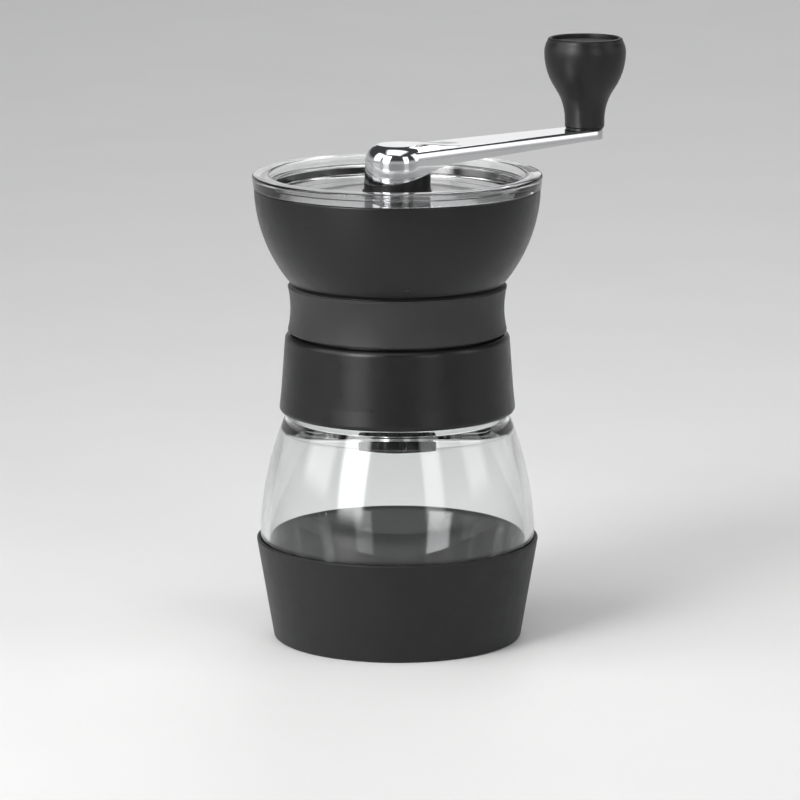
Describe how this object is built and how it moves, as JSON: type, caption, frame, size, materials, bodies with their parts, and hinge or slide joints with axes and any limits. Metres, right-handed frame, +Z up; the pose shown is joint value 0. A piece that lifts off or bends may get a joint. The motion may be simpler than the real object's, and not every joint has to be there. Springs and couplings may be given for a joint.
{
  "type": "hand crank coffee grinder",
  "caption": "Upright hand crank coffee grinder: a glass jar in a rubber boot, a threaded collar with a conical burr, a bean hopper with a clear lid, and a crank arm with a knob.",
  "frame": {"origin": "on the grinder's axis, at the bottom of the base boot", "axes": "+Z up along the drive shaft, +X along the crank arm from the shaft to the knob"},
  "size_m": [0.1483, 0.0982, 0.1989],
  "materials": {
    "glass": "clear, smooth",
    "clear_plastic": "clear, polished",
    "dark_silicone": "matt silicone",
    "grey_silicone": "matt silicone",
    "black_plastic": "fine satin",
    "gloss_black_plastic": "satin gloss",
    "chrome": "polished",
    "steel": "turned",
    "brass": "turned",
    "ceramic": "fired ceramic, opaque"
  },
  "bodies": {
    "jar": {"jar": "glass", "base_boot": "dark_silicone"},
    "mouth_seal": {"jar_seal": "dark_silicone"},
    "head": {"collar": "black_plastic", "hopper": "black_plastic", "grip_band": "grey_silicone", "deck_screws": "steel", "bearing_spider": "black_plastic", "upper_bushing": "brass", "lower_bushing": "brass", "outer_burr": "ceramic", "burr_retainer": "black_plastic", "retainer_screws": "steel"},
    "drive": {"drive_shaft": "steel", "shaft_clip": "steel", "thrust_washer": "steel", "spring_washer": "steel", "burr_spring": "steel"},
    "burr": {"burr_carrier": "black_plastic", "inner_burr": "ceramic", "detent_washer": "steel"},
    "dial": {"adjuster_dial": "black_plastic", "dial_nut": "brass"},
    "lid": {"lid": "clear_plastic"},
    "crank": {"crank_arm": "chrome", "hub_core": "gloss_black_plastic", "knob_pin": "steel", "knob_washer": "black_plastic"},
    "knob": {"knob": "gloss_black_plastic", "knob_cap": "gloss_black_plastic"}
  },
  "joints": [
    {"name": "head_lift", "type": "slide", "parent": "jar", "child": "mouth_seal", "axis": [0, 0, 1], "range_m": [0, 0.00561]},
    {"name": "head_unscrew", "type": "hinge", "parent": "mouth_seal", "child": "head", "pos_m": [0, 0, 0.09], "axis": [0, 0, 1], "range_deg": [0, 403.2]},
    {"name": "crank_turn", "type": "hinge", "parent": "head", "child": "drive", "pos_m": [0, 0, 0.11], "axis": [0, 0, 1], "continuous": true},
    {"name": "burr_gap", "type": "slide", "parent": "drive", "child": "burr", "axis": [0, 0, 1], "range_m": [-0.00125, 0.00031], "deforming": ["burr_spring"]},
    {"name": "dial_turn", "type": "hinge", "parent": "burr", "child": "dial", "pos_m": [0, 0, 0.07], "axis": [0, 0, 1], "range_deg": [-360.1, 90.1]},
    {"name": "crank_pull", "type": "slide", "parent": "drive", "child": "crank", "axis": [0, 0, 1], "range_m": [0, 0.045]},
    {"name": "knob_spin", "type": "hinge", "parent": "crank", "child": "knob", "pos_m": [0.085, 0, 0.18], "axis": [0, 0, 1], "continuous": true},
    {"name": "lid_lift", "type": "slide", "parent": "head", "child": "lid", "axis": [0, 0, 1], "range_m": [0, 0.018]}
  ],
  "couplings": [
    {"joint": "head_lift", "follows": "head_unscrew", "m_per_rad": 0.00079577},
    {"joint": "dial_turn", "follows": "burr_gap", "rad_per_m": 5026.5},
    {"joint": "lid_lift", "follows": "crank_pull", "ratio": 0.4}
  ]
}
